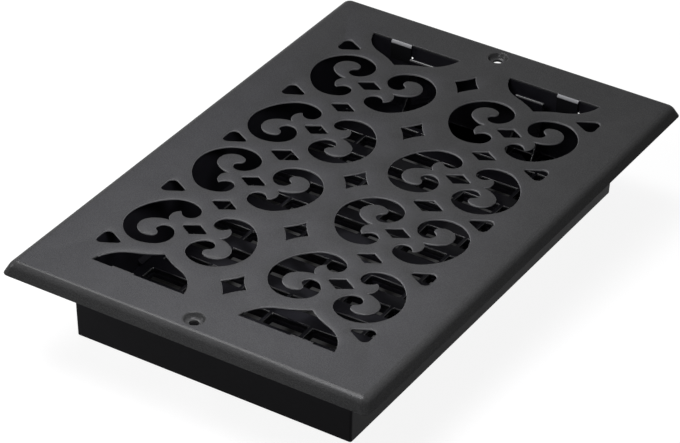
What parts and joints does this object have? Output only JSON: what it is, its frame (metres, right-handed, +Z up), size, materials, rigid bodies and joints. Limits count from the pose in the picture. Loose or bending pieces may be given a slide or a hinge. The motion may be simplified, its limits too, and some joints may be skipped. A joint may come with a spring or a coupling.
{
  "type": "floor register",
  "caption": "Rectangular floor register: a pressed steel face plate pierced with a scroll pattern, over a plastic damper box with a sliding slotted shutter.",
  "frame": {"origin": "centre of the damper box's underside, on the surface that the register stands on when it is out of the floor", "axes": "+X across the width, +Y along the length towards the end with the shutter's finger tabs, +Z up through the face plate"},
  "size_m": [0.193, 0.2944, 0.0458],
  "materials": {
    "plate_paint": "textured black powder coat",
    "damper_plastic": "satin moulded black"
  },
  "bodies": {
    "register": {"face_plate": "plate_paint", "damper_box": "damper_plastic"},
    "shutter": {"shutter": "damper_plastic"}
  },
  "joints": [
    {"name": "shutter_slide", "type": "slide", "parent": "register", "child": "shutter", "axis": [0, -1, 0], "range_m": [0, 0.00855]}
  ]
}
